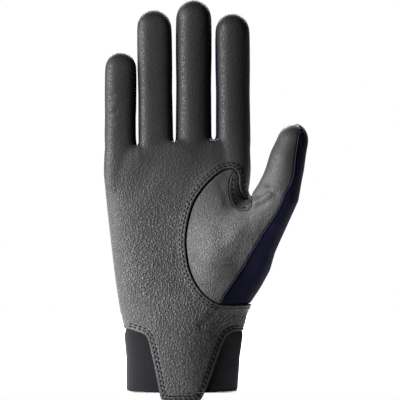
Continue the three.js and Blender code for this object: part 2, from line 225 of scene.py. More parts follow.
# %% The thumb, along an axis that leaves the heel of the hand
thumb_rows = table(
    "across forward up width depth roll",
    (0.295, 0, 0.33, 1.08, 0.95, 0),
    (0.336, -0.02, 0.44, 1.65, 1.2, 0),
    (0.383, 0.08, 0.53, 1.86, 1.25, 0),
    (0.456, 0.27, 0.62, 1.7, 1.17, -2),
    (0.588, 0.47, 0.71, 1.25, 1.08, -10),
    (0.66, 0.62, 0.79, 1.16, 1, -20),
    (0.694, 0.72, 0.86, 1.01, 0.98, -24),
    (0.72, 0.78, 0.925, 0.95, 0.95, -24),
    (0.752, 0.8, 0.985, 0.83, 0.84, -24),
)


def along_at(points, i):
    """The way that a row of points goes at one of them."""
    return (points[min(i + 1, len(points) - 1)] - points[max(i - 1, 0)]).normalized()


def thumb_sections():
    points = [
        Vector((row["across"] * palm["width"], -row["forward"] * palm["depth"], row["up"] * fork_height))
        for row in thumb_rows
    ]
    rings = [(point, along_at(points, i), 1.0, row) for i, (point, row) in enumerate(zip(points, thumb_rows))]
    end, along, _, row = rings[-1]
    rings += [(end + along * reach, along, size, row) for reach, size in dome(0, thumb["tip"])]
    for point, along, size, row in rings:
        turned = BEHIND.cross(along).normalized()
        roll = math.radians(row["roll"])
        side = turned * math.cos(roll) + along.cross(turned) * math.sin(roll)
        half, deep = size * row["width"] * thumb["width"] / 2, size * row["depth"] * thumb["depth"] / 2
        yield section(point, half, deep, deep, side=side, back=along.cross(side))


# %% [markdown]
# ## One closed form
#
# A voxel remesh turns the overlapping tubes into one even skin, and a few rounds of smoothing make the
# forks soft. The gaps between the fingers are hardly wider than a voxel, so the fingers are spread
# first, and brought back when the skin is whole.

# %% Spreading the fingers, and bringing them back
gap_between = [("little", "ring", 2.8 * MM), ("ring", "middle", 1.6 * MM), ("middle", "index", 1.2 * MM)]
gap_half = 0.6 * MM


def gap_x(left, right, z):
    """The middle of the gap between two fingers at a height."""
    a, b = fingers[left], fingers[right]
    return (finger_x(a, z) + a["width"] / 2 + finger_x(b, z) - b["width"] / 2) / 2


def spread_weight(z):
    return smooth_step(z, fork_height - 22 * MM, fork_height - 4 * MM)


def spread(x, z, back=False):
    """Moves what lies outside a gap away from the middle finger, or back towards it."""
    order = list(reversed(gap_between[:2])) if back else gap_between[:2]
    steps = [(left, right, wide, 1) for left, right, wide in order]
    steps.append((*gap_between[2], -1))
    for left, right, wide, way in steps:
        move = wide * spread_weight(z)
        outside = (gap_x(left, right, z) - x) * way
        if back:
            shift = np.where(outside > gap_half + move, move, 0)
            between = np.abs(outside - move / 2) <= gap_half + move / 2
            scaled = (outside - move / 2) / (1 + move / (2 * gap_half))
            x = np.where(between, gap_x(left, right, z) - way * scaled, x + way * shift)
        else:
            share = np.clip((outside + gap_half) / (2 * gap_half), 0, 1)
            x = x - way * move * share
    return x


def positions(bm):
    return np.array([v.co for v in bm.verts])


def spread_mesh(bm, back=False):
    at = positions(bm)
    moved = spread(at[:, 0], at[:, 2], back)
    for vert, x in zip(bm.verts, moved):
        vert.co.x = x


# %% The tubes, remeshed into one skin
skin_rounds = 10


def finished(name, bm, smooth=True):
    """The object of a piece, at the origin."""
    mesh = bpy.data.meshes.new(name)
    bm.to_mesh(mesh)
    bm.free()
    if smooth:
        mesh.shade_smooth()
    made = bpy.data.objects.new(name, mesh)
    bpy.context.scene.collection.objects.link(made)
    print(name, len(mesh.polygons), "faces")
    return made


def soften(bm, verts, rounds):
    axes = {"use_axis_x": True, "use_axis_y": True, "use_axis_z": True}
    for _ in range(rounds):
        bmesh.ops.smooth_vert(bm, verts=verts, factor=0.5, **axes)


form_bm = bmesh.new()
grow_tube(form_bm, list(palm_sections()))
grow_tube(form_bm, list(thumb_sections()))
for finger in fingers.values():
    grow_tube(form_bm, list(finger_sections(finger)))
bmesh.ops.recalc_face_normals(form_bm, faces=form_bm.faces)
spread_mesh(form_bm)
form = finished("hand_form", form_bm, smooth=False)
remesh = form.modifiers.new("one_skin", "REMESH")
remesh.mode = "VOXEL"
remesh.voxel_size = voxel
skin = bpy.data.meshes.new_from_object(form.evaluated_get(bpy.context.evaluated_depsgraph_get()))
bpy.data.objects.remove(form)
form_bm = bmesh.new()
form_bm.from_mesh(skin)
soften(form_bm, form_bm.verts, skin_rounds)
spread_mesh(form_bm, back=True)
print("the form has", len(form_bm.faces), "faces")

# %% [markdown]
# ## Seam lines
#
# The panels meet along lines drawn over the form like chalk lines. Each seam is a field, a number for
# every point that is zero on the line and its distance in metres beside it. Outlines are drawn as the
# palm is seen. The seams down the sides and between the fingers follow the depth of the hand.

# %% Smooth lines and the distance inside an outline
def through(points, closed=False, step=1.0):
    """A smooth line through points in mm, sampled about every step mm."""
    points = np.array(points, float)
    count = len(points)
    parts = []
    for i in range(count if closed else count - 1):
        picks = [i - 1, i, i + 1, i + 2]
        picks = [p % count if closed else min(max(p, 0), count - 1) for p in picks]
        a, b, c, d = points[picks]
        steps = max(1, round(float(np.hypot(*(c - b))) / step))
        t = np.arange(steps)[:, None] / steps
        bend = (2 * a - 5 * b + 4 * c - d) * t**2 + (3 * b - a - 3 * c + d) * t**3
        parts.append((2 * b + (c - a) * t + bend) / 2)
    if not closed:
        parts.append(points[-1:])
    return np.concatenate(parts) * MM


def line_distance(x, z, start, end):
    """Distance from the straight line between two points."""
    (ax, az), (bx, bz) = start, end
    dx, dz = bx - ax, bz - az
    share = np.clip(((x - ax) * dx + (z - az) * dz) / (dx * dx + dz * dz), 0, 1)
    return np.hypot(x - ax - share * dx, z - az - share * dz)


def inside_distance(x, z, outline):
    """Distance to a closed outline, above zero inside it and below zero outside."""
    nearest = np.full(x.shape, np.inf)
    inside = np.zeros(x.shape, bool)
    for (ax, az), (bx, bz) in zip(outline, np.roll(outline, -1, axis=0)):
        nearest = np.minimum(nearest, line_distance(x, z, (ax, az), (bx, bz)))
        if az != bz:
            inside ^= ((az > z) != (bz > z)) & (x < ax + (z - az) / (bz - az) * (bx - ax))
    return np.where(inside, nearest, -nearest)


# %% The outlines of the panels, in mm across and up
thumb_seam = [
    (22.3, 52.0), (14.9, 56.2), (8.5, 63.6), (4.3, 72.8), (2.5, 82), (2, 91.2), (3.4, 101.4),
    (6.7, 112.5), (12.2, 121.1), (16.7, 126), (21, 129.9), (25.4, 132.3), (29.6, 133.0), (32.6, 131.2),
]
fork_seam = [(33.9, 127.6), (33.8, 123.6), (34.8, 119.6), (36.6, 116.6), (38.6, 115.0), (41.3, 115.8)]
quirk_line = [
    (31.2, 131.5), (28.8, 127.5), (28.2, 122), (28.6, 116.6), (30, 112.2), (32.6, 109.3), (36, 108.2),
    (39.6, 108.4),
]
quirk_right = [(41.3, 110.5), (41.5, 117), (37, 121), (35, 128)]
thumb_back_line = [(22.3, 52.0), (28.7, 75), (35.7, 98), (41, 113.6)]
above_fork = [(41.5, 122), (41.5, 175), (130, 175), (130, 52.0), (60, 52.0), (41, 51.9), (30.6, 51.4)]
navy_line = [
    (20.5, 46), (22.8, 52.5), (27, 59.9), (35.2, 71.9), (42.7, 84.8), (49.1, 95.9), (57.4, 108.8),
    (61.4, 118.5), (64.7, 124.4), (66.1, 130.7), (66.8, 137.7), (67.7, 144.6), (69.1, 152.4),
    (71.1, 158.2), (73, 166),
]
palm_edge = [
    (-60, 37.8), (-35.1, 37.4), (-28, 35.9), (-23, 34.3), (-20.9, 32.2), (-19.3, 27.1), (-16.6, 15.2),
    (-13.9, 2.3), (-13.1, -2.4), (-11.5, -5.1), (-8.8, -5.9), (0, -5.95), (8.2, -5.9), (10.9, -5.0),
    (12.7, -2.2), (15.5, 3.9), (19, 14.2), (21.7, 21.6), (24.4, 28.6), (26.8, 32.8), (29.8, 34.9),
    (35.1, 35.5), (60, 35.6),
]
back_edge = 36.5 * MM
side_seam_behind = 3.6 * MM
strip_half, strip_point = 5.1 * MM, 14 * MM
navy_slant = math.radians(45)

thumb_front = np.concatenate([through(thumb_seam), through(fork_seam), np.array(above_fork) * MM])
thumb_behind = np.concatenate([through(thumb_back_line), np.array(above_fork) * MM])
quirk_outline = np.concatenate([through(quirk_line), np.array(quirk_right) * MM])
far_above = [(60, 400), (-60, 400)]
palm_outline = np.concatenate([through(palm_edge), np.array(far_above) * MM])
navy_at = through(navy_line, step=2.0)

# %% [markdown]
# ## The ball of the thumb, and soft folds
#
# Inside the thumb's seam the leather swells over the ball of the thumb. It rises steeply from the seam
# and levels off towards the outer side. Leather also folds where the thumb bends and where the hand
# narrows. Each fold is a short line with a width and a height, and moves the skin along its normals
# before anything is cut. A height below zero is a crease.

# %% The swelling inside the thumb's seam, in mm
ball_up = (50, 58, 66, 78, 90, 100, 110, 120, 128)
ball_high = (0.5, 3.1, 5.6, 7.1, 6.6, 5.0, 3.0, 1.5, 0.3)
ball_reach, ball_power = 19.0, 1.42
level_before_navy = -24
settle_top, settle_inset, settle_rounds = 111 * MM, 1.5, 60


def front_only(normals):
    """1 on the palm side, 0 on the sides and the back."""
    return smooth_step(-normals[:, 1], 0.05, 0.55)


def skin_now(bm):
    """Where the points of the skin are, and which way they face."""
    bm.normal_update()
    return positions(bm), np.array([v.normal for v in bm.verts])


skin_at, facing = skin_now(form_bm)
inset = inside_distance(skin_at[:, 0], skin_at[:, 2], thumb_front) / MM
to_navy = (skin_at[:, 0] - np.interp(skin_at[:, 2], navy_at[:, 1], navy_at[:, 0])) / MM
swell = 1 - (1 - np.clip(inset / ball_reach, 0, 1)) ** ball_power
swell *= np.interp(skin_at[:, 2] / MM, ball_up, ball_high) * MM
swell *= (1 - smooth_step(to_navy, level_before_navy, 0)) * front_only(facing)
for vert, lift in zip(form_bm.verts, swell):
    vert.co.y -= lift
settle = [
    vert for vert, deep, side in zip(form_bm.verts, inset, facing[:, 1])
    if deep > settle_inset and side < -0.2 and vert.co.z < settle_top
]
soften(form_bm, settle, settle_rounds)
print("the ball of the thumb stands out by", round(float(swell.max() / MM), 1), "mm")

# %% Folds of the palm side, in mm as the palm is seen
folds = table(
    "from to wide high",
    ((41.5, 111.2), (51.5, 117.9), 2, 1.4),
    ((46, 117), (49.5, 120.2), 2.6, -1.7),
    ((46.5, 122.6), (56, 118.4), 1.6, -0.5),
    ((41, 108.5), (49, 112.5), 2.2, -0.6),
    ((38, 105), (22, 90), 3.2, -0.5),
    ((33, 105), (15, 96), 3.5, 0.4),
    ((41, 102), (33, 80), 3.4, -0.5),
    ((23, 124), (27, 112), 2.2, -0.35),
    ((20.5, 48), (11, 38.5), 1.7, -0.5),
    ((16, 50), (7, 41), 3.5, 0.3),
    ((31, 45), (24, 34), 6, -0.8),
    ((32, 59), (51, 93), 7, -1.3),
    ((-30, 118), (-12, 146), 7, -0.5),
    ((4, 118), (14, 146), 7, -0.4),
    ((-46, 158), (-41, 160), 1.2, -0.25),
    ((-46, 164), (-40, 167), 1.3, -0.3),
    ((-46, 171), (-42, 173), 1.2, -0.25),
    ((-46, 176), (-41, 177), 1.3, -0.25),
)
skin_at, facing = skin_now(form_bm)
push = np.zeros(len(skin_at))
for fold in folds:
    start, end = np.array(fold["from"]) * MM, np.array(fold["to"]) * MM
    away = line_distance(skin_at[:, 0], skin_at[:, 2], start, end) / (fold["wide"] * MM)
    push += fold["high"] * MM * np.exp(-away * away)
push *= front_only(facing)
for vert, place in zip(form_bm.verts, skin_at + facing * push[:, None]):
    vert.co = place
form_tree = BVHTree.FromBMesh(form_bm)


def on_skin(tree, x, z):
    """The point and the normal of the skin that is seen at a place from the palm side."""
    hit, normal, _, _ = tree.ray_cast(Vector((x, -1, z)), BEHIND)
    return hit, normal


# %% How deep the seam beside the fabric lies
seen = [on_skin(form_tree, x, z)[0] for x, z in navy_at]
navy_depth = [hit.y if hit else None for hit in seen]
first = next(i for i, depth in enumerate(navy_depth) if depth is not None)
for i, depth in enumerate(navy_depth):
    if depth is None:
        navy_depth[i] = navy_depth[max(i - 1, first)] if i > first else navy_depth[first]


# %% The fields of the seams
def thumb_field(at):
    """Above zero inside the opening that the thumb is set into."""
    x, y, z = at.T
    turn = smooth_step(y - curl_at(z), -3 * MM, 3 * MM)
    return (1 - turn) * inside_distance(x, z, thumb_front) + turn * inside_distance(x, z, thumb_behind)


def quirk_field(at):
    x, y, z = at.T
    return np.minimum(inside_distance(x, z, quirk_outline), 0.5 * MM - y)


def navy_field(at):
    """Above zero on the outer side of the thumb."""
    x, y, z = at.T
    beside = x - np.interp(z, navy_at[:, 1], navy_at[:, 0])
    behind = y - np.interp(z, navy_at[:, 1], navy_depth)
    return beside * math.cos(navy_slant) + behind * math.sin(navy_slant)


def strip_field(at):
    """Above zero on the strips that line the sides of the fingers."""
    x, y, z = at.T
    best = np.full(len(at), -1.0)
    for left, right, _ in gap_between:
        a, b = fingers[left], fingers[right]
        ends = [fork_height + f["length"] - 0.6 * tip_roundness * f["width"] for f in (a, b)]
        end = np.where(x < gap_x(left, right, z), *ends)
        taper = np.clip((z - end + strip_point) / strip_point, 0, 1)
        half = strip_half * (1 - 0.18 * smooth_step(z, fork_height, end))
        depth = y - curl_at(z)
        front = depth - ((taper - 1) * half + taper * side_seam_behind)
        rear = (1 - taper) * half + taper * side_seam_behind - depth
        between = (x > finger_x(a, z)) & (x < finger_x(b, z)) & (z < end) & (z > fork_height - 20 * MM)
        best = np.maximum(best, np.where(between, np.minimum(front, rear), -1.0))
    return best


def side_field(at):
    """Above zero on the back of the hand."""
    return at[:, 1] - curl_at(at[:, 2]) - side_seam_behind


def lower_field(at):
    """Above zero above the palm's lower edge, with the pull tab."""
    return inside_distance(at[:, 0], at[:, 2], palm_outline)


def back_lower_field(at):
    return at[:, 2] - back_edge


# %% [markdown]
# ## Cutting
#
# A cut splits every edge that a seam crosses, and joins the new points across the faces. Further lines
# beside the seam give the rows of faces that a rolled edge or a furrow needs. Points that are very near
# a line are moved onto it, so that no slivers stay behind.

# %% Splitting the skin along a field
THUMB, QUIRK, NAVY, STRIP, SIDE, LOWER = 1, 2, 4, 8, 16, 32
EVEN = 1e-9
on_seam = 0.02 * MM
seam_mark = form_bm.verts.layers.int.new("seam")
held = form_bm.verts.layers.float.new("held")


def split_face(bm, face, on_line):
    """Joins two points of a line across a face, and returns the new face."""
    hits = [v for v in face.verts if v in on_line]
    for i, a in enumerate(hits):
        for b in hits[i + 1:]:
            if bm.edges.get((a, b)) is None:
                return bmesh.utils.face_split(face, a, b)[0]
    return None


def cut_along(bm, field, seam, allowed, beside):
    at = positions(bm)
    value = field(at)
    reach = max(abs(b) for b in beside) * MM + 2 * voxel
    near = np.abs(value) < reach
    if allowed:
        near &= allowed(at)
    near_verts = set()
    for vert, here, is_near in zip(bm.verts, value, near):
        if is_near:
            vert[held] = 0.0 if abs(here) < on_seam else here
            near_verts.add(vert)
    faces = [f for f in bm.faces if all(v in near_verts for v in f.verts)]
    fixed = {v for v in near_verts if v[seam_mark]}
    for offset in [0.0] + [b * MM for b in beside]:
        edges = {e for f in faces for e in f.edges}
        for e in edges:
            a, b = e.verts
            ahead, behind = a[held] - offset, b[held] - offset
            if ahead * behind >= 0:
                continue
            share = ahead / (ahead - behind)
            for vert, other, part in ((a, b, share), (b, a, 1 - share)):
                if part < 0.25 and vert not in fixed and abs(vert[held] - offset) > EVEN:
                    vert.co = vert.co.lerp(other.co, part)
                    vert[held] = offset
                    fixed.add(vert)
                    break
        for e in edges:
            a, b = e.verts
            ahead, behind = a[held] - offset, b[held] - offset
            if abs(ahead) > EVEN and abs(behind) > EVEN and ahead * behind < 0:
                _, vert = bmesh.utils.edge_split(e, a, ahead / (ahead - behind))
                vert[held] = offset
                vert[seam_mark] = a[seam_mark] & b[seam_mark]
                fixed.add(vert)
        on_line = {v for f in faces for v in f.verts if abs(v[held] - offset) <= EVEN}
        todo = [f for f in faces if sum(v in on_line for v in f.verts) > 1]
        while todo:
            face = todo.pop()
            made = split_face(bm, face, on_line)
            if made:
                faces.append(made)
                todo += [face, made]
        if offset == 0:
            for vert in on_line:
                vert[seam_mark] = vert[seam_mark] | seam


def not_above(field):
    return lambda at: field(at) < on_seam


def not_below(field):
    return lambda at: field(at) > -on_seam


def both(*tests):
    return lambda at: np.logical_and.reduce([test(at) for test in tests])


row_near, row_far = 2.0, 3.5
quirk_row = 1.6
welt_lines = (0.5, 1.0, 1.5, row_near, 2.5, 3.0, row_far, 4.0, 4.6)
plain_lines = (0.4, 1.0, -0.4, -1.0)
off_thumb = not_above(thumb_field)
for field, seam, allowed, lines in (
    (thumb_field, THUMB, None, (*[-line for line in welt_lines], 0.5, 1.2, 2.2)),
    (quirk_field, QUIRK, not_below(thumb_field), (0.4, 1.0, quirk_row, -0.4, -1.0)),
    (navy_field, NAVY, both(not_below(thumb_field), not_above(quirk_field)), plain_lines),
    (strip_field, STRIP, off_thumb, plain_lines),
    (side_field, SIDE, both(off_thumb, not_above(strip_field)), plain_lines),
    (lower_field, LOWER, both(off_thumb, not_above(side_field)), welt_lines[:-1]),
    (back_lower_field, LOWER, both(off_thumb, not_below(side_field)), plain_lines[:2]),
):
    cut_along(form_bm, field, seam, allowed, lines)
print("after cutting the skin has", len(form_bm.faces), "faces")

# %% [markdown]
# ## Panels
#
# Every face lies on one side of each seam now, so the fields at its middle say which panel it belongs
# to. Its rim is shaped by the distance from the seam. A plain seam dips into a shallow groove. Along
# the thumb the palm's edge is turned under and topstitched twice, so it stands up as a welt with two
# furrows, and the thumb's leather falls away below it.

# %% Which faces belong to which panel
middles = np.array([f.calc_center_median() for f in form_bm.faces])
in_thumb = thumb_field(middles) > 0
in_quirk = in_thumb & (quirk_field(middles) > 0)
in_navy = in_thumb & ~in_quirk & (navy_field(middles) > 0)
in_strip = ~in_thumb & (strip_field(middles) > 0)
behind = ~in_thumb & ~in_strip & (side_field(middles) > 0)
before = ~in_thumb & ~in_strip & ~behind
panel_faces = {
    "palm_leather": before & (lower_field(middles) > 0),
    "thumb_leather": in_thumb & ~in_quirk & ~in_navy,
    "thumb_quirk": in_quirk,
    "thumb_back": in_navy,
    "back_panel": behind & (back_lower_field(middles) > 0),
}
for left, right, _ in gap_between:
    between = np.abs(middles[:, 0] - gap_x(left, right, middles[:, 2])) < fingers[right]["width"] / 2
    panel_faces[f"fourchette_{left}_{right}"] = in_strip & between


# %% How a rim is shaped
def dip(distance, deep, wide):
    """A groove's side, deepest at the seam."""
    return -deep * MM * (1 - smooth_step(distance, 0, wide * MM)) ** 1.5


def furrow(distance, row, deep=0.34, wide=0.5):
    """The narrow line that a row of stitches pulls into the leather."""
    away = (distance - row * MM) / (wide * MM)
    return -deep * MM * np.exp(-away * away * 2)


def plain_rim(deep, wide):
    return lambda distance, at: dip(distance, deep, wide)


def welt_rim(distance, at):
    """The palm's turned edge over the thumb."""
    turned_in, level = smooth_step(distance, -0.6 * MM, 0.7 * MM), smooth_step(distance, 2.6 * MM, 5.0 * MM)
    rise = 0.8 * MM * turned_in * (1 - level)
    return rise + furrow(distance, row_near) + furrow(distance, row_far)


def sunk_rim(distance, at):
    """The thumb's leather below the palm's edge, deepest along the side of the palm."""
    x, z = at[:, 0] / MM, at[:, 2] / MM
    along = smooth_step(z, 50, 72) * (1 - smooth_step(x, 17, 29))
    return dip(distance, 0.8, 1.5) * (0.6 + 0.9 * along)


def hem_rim(distance, at):
    """A free edge with two rows of stitches."""
    rolled = -0.25 * MM * (1 - smooth_step(distance, 0, 0.5 * MM))
    return rolled + furrow(distance, row_near, 0.36) + furrow(distance, row_far, 0.36)


def quirk_rim(distance, at):
    return dip(distance, 0.3, 1.2) + furrow(distance, quirk_row, 0.3)


# %% Taking the panels off the form
far_off = 50.0


def rim_tree(part, seam):
    """Points along the rim where it follows a seam, in a search tree."""
    points = []
    mark = part.verts.layers.int["seam"]
    for e in part.edges:
        a, b = e.verts
        if e.is_boundary and a[mark] & b[mark] & seam:
            points += [a.co.lerp(b.co, i / 4) for i in range(5)]
    tree = KDTree(max(1, len(points)))
    for i, point in enumerate(points):
        tree.insert(point, i)
    tree.balance()
    return tree if points else None


def shape_rims(part, rims):
    at, normals = skin_now(part)
    down, up = np.zeros(len(at)), np.zeros(len(at))
    nearest, to_edge = np.full(len(at), far_off), np.full(len(at), far_off)
    for seam, rim in rims.items():
        tree = rim_tree(part, seam)
        if tree:
            distance = np.array([tree.find(v.co)[2] for v in part.verts])
            moved = rim(distance, at)
            down, up = np.minimum(down, moved), np.maximum(up, moved)
            nearest = np.minimum(nearest, distance / MM)
            if rim in (welt_rim, hem_rim):
                to_edge = np.minimum(to_edge, distance / MM)
    rim_layer, sewn_layer = part.verts.layers.float.new("rim"), part.verts.layers.float.new("sewn")
    for vert, place, away, sewn in zip(part.verts, at + normals * (down + up)[:, None], nearest, to_edge):
        vert.co = place
        vert[rim_layer] = away
        vert[sewn_layer] = sewn


def open_seams(part, by):
    """Draws a panel's rim back a little, so that neighbours don't touch."""
    moves = {}
    for vert in part.verts:
        if vert.is_boundary:
            inner = sum((f.calc_center_median() for f in vert.link_faces), Vector()) / len(vert.link_faces)
            way = inner - vert.co
            moves[vert] = way.normalized() * min(by, way.length / 2)
    for vert, move in moves.items():
        vert.co += move


seam_opening = 0.12 * MM
leather_rims = {seam: plain_rim(0.45, 1.3) for seam in (THUMB, NAVY, STRIP)}
leather_rims |= {seam: plain_rim(0.3, 0.9) for seam in (SIDE, QUIRK)}
panel_rims = {
    "palm_leather": {**leather_rims, THUMB: welt_rim, LOWER: hem_rim},
    "thumb_leather": {**leather_rims, THUMB: sunk_rim},
    "thumb_quirk": {THUMB: quirk_rim, QUIRK: quirk_rim},
}
leather_panels = ("palm_leather", "thumb_leather", "thumb_quirk")
panels = {}
for name, chosen in panel_faces.items():
    part = form_bm.copy()
    doomed = [f for f, stays in zip(part.faces, chosen) if not stays]
    bmesh.ops.delete(part, geom=doomed, context="FACES")
    shape_rims(part, panel_rims.get(name, leather_rims))
    open_seams(part, seam_opening)
    panels[name] = finished(name, part)
    wall = panels[name].modifiers.new("wall", "SOLIDIFY")
    wall.thickness = leather_thickness if name in leather_panels else fabric_thickness
    wall.offset = -1

# %% [markdown]
# ## The cuff
#
# The cuff is a knitted tube, folded in at its hem. A hem has a round edge, so the tube is one closed
# profile: down its outside, round the hem, and up its inside. Each step of it is a ring with the shape
# of the wrist at its height. Its top is tucked under the leather, and its front lies behind the tab.

# %% The rings of the cuff
cuff_thickness = 1.7 * MM
cuff_top = cuff_high.z
behind_tab = leather_thickness + 0.9 * MM
tuck = leather_thickness + 0.55 * MM
tuck_between = (32 * MM, 38 * MM)
cuff_points, cuff_steps = 112, 30
wave_length, wave_height = 17 * MM, 0.3 * MM


def hand_at(z, key, size=None):
    """A value of the palm's rows at a height, as a length where it is a share of a size."""
    heights = [row["up"] * fork_height for row in hand_rows]
    values = [row[key] * (row["of"][size] if size else 1) for row in hand_rows]
    return float(np.interp(z, heights, values))


def wrist_ring(z, drawn):
    left, right = hand_at(z, "left", "width"), hand_at(z, "right", "width")
    front, rear = hand_at(z, "front", "depth"), hand_at(z, "rear", "depth")
    middle, half = (left + right) / 2, (right - left) / 2
    return section(
        (middle, 0, z), half - drawn, front - max(drawn, behind_tab), rear - drawn,
        square=hand_at(z, "square"), slope=hand_at(z, "slope"), count=cuff_points,
    )


def tucked(z):
    """How far the cuff is drawn in at a height, to lie under the leather."""
    return tuck * float(smooth_step(z, *tuck_between))


def join_rings(bm, rings, closed=False):
    """Faces from each ring of points to the next, and either back to the first or a cap at each end."""
    for ring, following in zip(rings, rings[1:] + (rings[:1] if closed else [])):
        for i in range(len(ring)):
            j = (i + 1) % len(ring)
            bm.faces.new((ring[i], following[i], following[j], ring[j]))
    if not closed:
        bm.faces.new(rings[0])
        bm.faces.new(reversed(rings[-1]))


outer_steps = [cuff_top - i * (cuff_top - cuff_thickness) / cuff_steps for i in range(cuff_steps)]
profile = [(z, tucked(z)) for z in outer_steps]
hem_round = cuff_thickness / 2
profile += [
    (hem_round * (1 - math.sin(turn)), hem_round * (1 - math.cos(turn)))
    for turn in [math.pi * i / 8 for i in range(9)]
]
profile += [(z, tucked(z) + cuff_thickness) for z in reversed(outer_steps)]
cuff_bm = bmesh.new()
rings = [[cuff_bm.verts.new(point) for point in wrist_ring(z, drawn)] for z, drawn in profile]
join_rings(cuff_bm, rings, closed=True)
bmesh.ops.recalc_face_normals(cuff_bm, faces=cuff_bm.faces)
for vert in cuff_bm.verts:
    wave = noise.noise(Vector((vert.co.x, vert.co.y, vert.co.z * 0.6)) / wave_length)
    away = Vector((vert.co.x, vert.co.y, 0)).normalized()
    vert.co += away * (wave * wave_height)
cuff = finished("cuff_knit", cuff_bm)

# %% [markdown]
# ## Stitches
#
# Every topstitch is a short dark thread that dives into the leather at both ends. The rows follow the
# seam lines at a set distance, and rays from the palm side find where each stitch lies.

# %% One stitch, and rows of them
stitch_pitch, stitch_length = 2.9 * MM, 1.9 * MM
thread_radius = 0.36 * MM
thread_shape = ((0, 0.5, -0.7), (0.15, 1.0, 0.4), (0.5, 1.1, 0.7), (0.85, 1.0, 0.4), (1, 0.5, -0.7))


def beside(line, by):
    """A line moved sideways, to its left where by is above zero."""
    along = np.gradient(line, axis=0)
    along /= np.hypot(along[:, 0], along[:, 1])[:, None]
    return line + np.stack([-along[:, 1], along[:, 0]], axis=1) * by * MM


def paced(line, pitch):
    """Points at an even pace along a line."""
    steps = np.hypot(*np.diff(line, axis=0).T)
    run = np.concatenate([[0], np.cumsum(steps)])
    at = np.arange(0, run[-1], pitch)
    return np.stack([np.interp(at, run, line[:, 0]), np.interp(at, run, line[:, 1])], axis=1)


def ring_round(bm, centre, side, up, radius, sides):
    turns = [2 * math.pi * i / sides for i in range(sides)]
    return [bm.verts.new(centre + (side * math.cos(t) + up * math.sin(t)) * radius) for t in turns]


def add_stitch(bm, start, end, normal, sides=6):
    along = (end - start).normalized()
    side = along.cross(normal).normalized()
    up = side.cross(along)
    rings = []
    for share, size, lift in thread_shape:
        centre = start.lerp(end, share) + up * (lift * thread_radius)
        rings.append(ring_round(bm, centre, side, up, thread_radius * size, sides))
    join_rings(bm, rings)


def skin_tree(piece):
    """The finished surface of a panel, for rays."""
    return BVHTree.FromObject(piece, bpy.context.evaluated_depsgraph_get())


def sew(name, tree, rows):
    """One object with all the stitches of the given rows."""
    bm = bmesh.new()
    for line in rows:
        points = paced(line, stitch_pitch)
        for (ax, az), (bx, bz) in zip(points, points[1:]):
            share = stitch_length / stitch_pitch
            start, one = on_skin(tree, ax, az)
            end, two = on_skin(tree, ax + (bx - ax) * share, az + (bz - az) * share)
            if start and end and (end - start).length < 1.6 * stitch_length:
                add_stitch(bm, start, end, (one + two).normalized())
    bmesh.ops.recalc_face_normals(bm, faces=bm.faces)
    return finished(name, bm)


palm_tree = skin_tree(panels["palm_leather"])
thumb_line = through(thumb_seam + fork_seam[:4])
edge_line = through(palm_edge[1:-1])
palm_stitches = sew(
    "palm_stitches", palm_tree,
    [beside(line, row) for line in (thumb_line, edge_line) for row in (row_near, row_far)],
)
quirk_edge = through(quirk_line[1:])
quirk_stitches = sew("quirk_stitches", skin_tree(panels["thumb_quirk"]), [beside(quirk_edge, quirk_row)])

# %% [markdown]
# ## The edge of the thumb seam
#
# Where the thumb's leather meets the navy fabric, the turned edge of the fabric catches the light as a
# thin lighter line. It lies in the groove of the seam, so it is a slim tube along that line, whose
# lighter navy is a painted highlight.

# %% The turned edge as a tube
edge_radius, edge_sunk, edge_sides = 0.3 * MM, 0.05 * MM, 8
edge_from, edge_to = 53.5 * MM, 156 * MM
edge_points = [
    Vector((x, y - edge_sunk, z)) for (x, z), y in zip(navy_at, navy_depth) if edge_from < z < edge_to
]
edge_bm = bmesh.new()
rings = []
for i, point in enumerate(edge_points):
    along = along_at(edge_points, i)
    side = along.cross(BEHIND).normalized()
    rings.append(ring_round(edge_bm, point, side, side.cross(along), edge_radius, edge_sides))
join_rings(edge_bm, rings)
bmesh.ops.recalc_face_normals(edge_bm, faces=edge_bm.faces)
seam_edge = finished("thumb_seam_edge", edge_bm)

# %% [markdown]
# ## Materials
#
# A few helpers keep the node trees readable. The grain that the leathers share is a node group, which
# only gives a height and a mask. The shader itself stays in each material.

# %% Helpers for node trees
def add_node(tree, kind, inputs=None, **settings):
    """A node with its settings, and its inputs linked from sockets or set to values."""
    made = tree.nodes.new(kind)
    for key, value in settings.items():
        setattr(made, key, value)
    for key, value in (inputs or {}).items():
        socket = made.inputs[key]
        if isinstance(value, bpy.types.NodeSocket):
            tree.links.new(value, socket)
        else:
            socket.default_value = value
    return made


def maths(tree, operation, *values):
    return add_node(tree, "ShaderNodeMath", dict(enumerate(values)), operation=operation).outputs[0]


def ramp(tree, value, low, high, start=0.0, end=1.0):
    """Maps low to start and high to end, smoothly and no further."""
    inputs = {"Value": value, "From Min": low, "From Max": high, "To Min": start, "To Max": end}
    return add_node(tree, "ShaderNodeMapRange", inputs, interpolation_type="SMOOTHSTEP").outputs["Result"]


def vectors(tree, operation, inputs):
    return add_node(tree, "ShaderNodeVectorMath", inputs, operation=operation).outputs["Vector"]


def shade(tree, colour, by):
    """A colour made darker or lighter by a number."""
    return vectors(tree, "SCALE", {0: colour, "Scale": by})


def texture(tree, kind, vector, scale, more, **settings):
    inputs = {"Vector": vector, "Scale": scale, **more}
    return add_node(tree, "ShaderNodeTex" + kind, inputs, **settings).outputs


def new_material(name, **shader):
    """A material with its Principled shader, whose even values are set on its own sockets."""
    material = bpy.data.materials.new(name)
    material.use_nodes = True
    tree = material.node_tree
    principled = tree.nodes["Principled BSDF"]
    for key, value in shader.items():
        principled.inputs[key.replace("_", " ")].default_value = value
    return material, tree, principled


# %% Leather grain, as a height and a mask of its creases
METRE = 1000 * MM


def object_place(tree):
    return add_node(tree, "ShaderNodeTexCoord").outputs["Object"]


